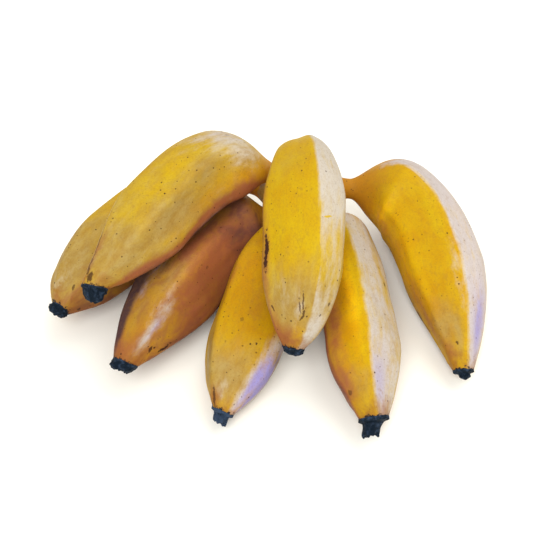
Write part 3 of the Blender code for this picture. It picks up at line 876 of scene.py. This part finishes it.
def flower_end_piece(name, end, seed):
    finger = FINGERS[name]
    distance = np.linspace(0, finger["stalk"] + finger["body"], RINGS)
    centre, forward, normal, across = centreline(finger, distance)
    tip, forward, normal = centre[-1], forward[-1], normal[-1]
    ahead, share = flower_end_line(end)
    station = np.linspace(0, len(ahead) - 1, COLLAR_ROWS)
    ahead, share = (np.interp(station, np.arange(len(ahead)), line) for line in (ahead, share))
    radius = share * finger["tip"]
    angles = np.linspace(0, 2 * math.pi, COLLAR_COLUMNS, endpoint=False)
    local = np.stack((radius[:, None] * np.cos(angles), radius[:, None] * np.sin(angles),
                      np.repeat(ahead[:, None], COLLAR_COLUMNS, 1)), -1)
    around = local * (1, 1, 0)

    # The collar is round at its rim; past it the stub is lobed and crumpled
    free = ease((ahead - FREE_FROM) / FREE_OVER)[:, None]
    lobed = 1 + end["lobes"] * np.cos(2 * (angles - math.radians(end["lobe_angle"])))[None, :] * free
    crumple = waves(local * (1, 1, 0.45), CREASE, seed) * CREASE_DEPTH
    crumple = crumple + waves(local * (1, 1, 0.2), WRINKLE, seed + 9) * WRINKLE_DEPTH
    reach = radius[:, None] * lobed + crumple * (HELD_CRUMPLE + (1 - HELD_CRUMPLE) * free)

    # Its rim is nicked and its end torn
    edge = waves(around, EDGE_WAVE, seed + 5) * EDGE_HEIGHT + waves(around, EDGE_NICK, seed + 6) * NICK_HEIGHT
    torn = waves(around, TEAR, seed + 7) * end["ragged"]
    near_rim = ease((NICKED_TO - station) / NICKED_TO)[:, None]
    tearing = ease((station - TORN_FROM) / TORN_GROW_OVER)
    near_end = (tearing * ease((TORN_TO - station) / TORN_FADE_OVER))[:, None]
    skewed = finger["skew"] * np.cos(angles - math.radians(finger["skew_angle"]))[None, :] * share[:, None]
    step = ahead[:, None] + edge * near_rim + torn * near_end + skewed
    out = np.cos(angles)[:, None] * normal + np.sin(angles)[:, None] * across
    drift = end["drift"][0] * normal + end["drift"][1] * across
    leaning = ease(ahead / end["length"])[:, None, None] * drift
    rings = tip + step[..., None] * forward + np.maximum(reach, 0.1)[..., None] * out[None] + leaning
    rings[..., 2] = np.maximum(rings[..., 2], 0.0)
    # Painted highlight: the rim is painted paler where its edge would catch the light; slate-blue ends are
    # paler all over
    lit_edge = np.repeat(np.exp(-((station - LIT_AT) / LIT_OVER) ** 2)[:, None], COLLAR_COLUMNS, 1)
    values = dict(pale=PALE_EDGE * lit_edge + PALE_SLATE * end["slate"])
    vectors = dict(skin=local + (0, 0, END_SPACING * seed))
    piece = ring_mesh("flower_end_" + name + "_dried", rings, values, vectors)
    piece.data.materials.append(dried)
    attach(piece, "root")
    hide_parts("flower_end_" + name)


def dried_material():
    paint = Paint("dried_flower")
    skin = paint.vector("skin")
    fibre = paint.noise(paint.vector("skin", (1, 1, 0.35)), DRIED_FIBRE, 5, 0.7)
    flake = paint.noise(skin, DRIED_FLAKE, 4, 0.65)
    # Blue where the flakes, the slate and the rim's painted highlight make it paler
    pale = paint.math("ADD", flake, paint.value("pale"))
    colour = paint.mix(paint.step(pale, 0.48, 0.80), DRIED_BLACK, DRIED_BLUE)
    colour = paint.mix(paint.step(fibre, 0.55, 0.8, 0.0, 0.4), colour, DRIED_BROWN)
    paint.put(paint.shader.inputs["Base Color"], colour)
    paint.put(paint.shader.inputs["Roughness"], paint.step(fibre, 0.3, 0.7, 0.55, 0.8))
    paint.shader.inputs["Specular IOR Level"].default_value = 0.12
    low = paint.bump(flake, 0.5, 0.0008)
    paint.put(paint.shader.inputs["Normal"], paint.bump(fibre, 0.6, 0.0005, low))
    return paint.material


dried = dried_material()
for i, (name, end) in enumerate(FLOWER_ENDS.items()):
    flower_end_piece(name, end, seed=31 + i)

# The table: a large sheet of plain matt paper, nearly white, a hair below the fruit that lies on it.
# It takes the fruit's shadows and is no part of it.
FLOOR_SIZE = 6.0
FLOOR_GAP = 0.0002
FLOOR_WHITE = (0.90, 0.885, 0.81, 1)
FLOOR_WARM = (0.92, 0.905, 0.83, 1)


def floor_sheet():
    bpy.ops.mesh.primitive_grid_add(
        x_subdivisions=8, y_subdivisions=8, size=FLOOR_SIZE, location=(0, 0, -FLOOR_GAP))
    sheet = bpy.context.active_object
    sheet.name = "floor"
    paint = Paint("floor")
    coordinates = paint.node("TexCoord").outputs["Object"]
    tone = paint.noise(coordinates, 0.4, 2)
    paint.put(paint.shader.inputs["Base Color"], paint.mix(tone, FLOOR_WHITE, FLOOR_WARM))
    paint.shader.inputs["Roughness"].default_value = 0.9
    paint.shader.inputs["Specular IOR Level"].default_value = 0.1
    sheet.data.materials.append(paint.material)


floor_sheet()

# The light: a bright white room all round, a soft key light from beside the camera, which keeps the
# sides of the fruit nearly as bright as their tops, and a broad fill from behind on the right. Their
# shadows stay soft, pale and close to the fruit.
KEY_FROM = (-167, 46)
KEY_SPREAD = 34
KEY_STRENGTH = 2.3
KEY_COLOUR = (0.98, 0.99, 1.0)
FILL_FROM = (60, 58)
FILL_SPREAD = 60
FILL_STRENGTH = 1.4
FILL_COLOUR = (1.0, 0.99, 0.96)
ROOM_STRENGTH = 0.80


def sun(name, place, spread, strength, colour):
    """A soft sun; place is its compass angle from +Y towards +X and its height, in degrees."""
    lamp = bpy.data.lights.new(name, "SUN")
    lamp.energy = strength
    lamp.angle = math.radians(spread)
    lamp.color = colour
    holder = bpy.data.objects.new(name, lamp)
    compass, height = (math.radians(angle) for angle in place)
    level = math.cos(height)
    toward = Vector((math.sin(compass) * level, math.cos(compass) * level, math.sin(height)))
    holder.rotation_euler = toward.to_track_quat("Z", "Y").to_euler()
    bpy.context.scene.collection.objects.link(holder)


def room():
    world = bpy.data.worlds.new("room")
    world.use_nodes = True
    background = world.node_tree.nodes["Background"].inputs
    background["Color"].default_value = (1.0, 1.0, 1.0, 1)
    background["Strength"].default_value = ROOM_STRENGTH
    bpy.context.scene.world = world


sun("key", KEY_FROM, KEY_SPREAD, KEY_STRENGTH, KEY_COLOUR)
sun("fill", FILL_FROM, FILL_SPREAD, FILL_STRENGTH, FILL_COLOUR)
room()
bpy.context.scene.view_settings.view_transform = "Standard"

# The camera: it looks down on the hand at 45 degrees from the side of the tips, 0.7 m away, with
# a lens that shows 0.5 mm of the aimed point's plane in each pixel of the 536-pixel frame.
CAMERA_HEIGHT_ANGLE = 45
CAMERA_DISTANCE = 0.7
PIXEL = 0.0005
FRAME_PIXELS = 536
SENSOR = 36
AIM = (Vector((0, 0, 20)) - Vector(HAND_MIDDLE)) * MM


def camera():
    data = bpy.data.cameras.new("camera")
    data.sensor_width = SENSOR
    data.lens = SENSOR * CAMERA_DISTANCE / (PIXEL * FRAME_PIXELS)
    holder = bpy.data.objects.new("camera", data)
    tilt = math.radians(CAMERA_HEIGHT_ANGLE)
    back = Vector((0, -math.cos(tilt), math.sin(tilt)))
    holder.location = AIM + back * CAMERA_DISTANCE
    holder.rotation_euler = (math.radians(90 - CAMERA_HEIGHT_ANGLE), 0, 0)
    bpy.context.scene.collection.objects.link(holder)
    bpy.context.scene.camera = holder


camera()
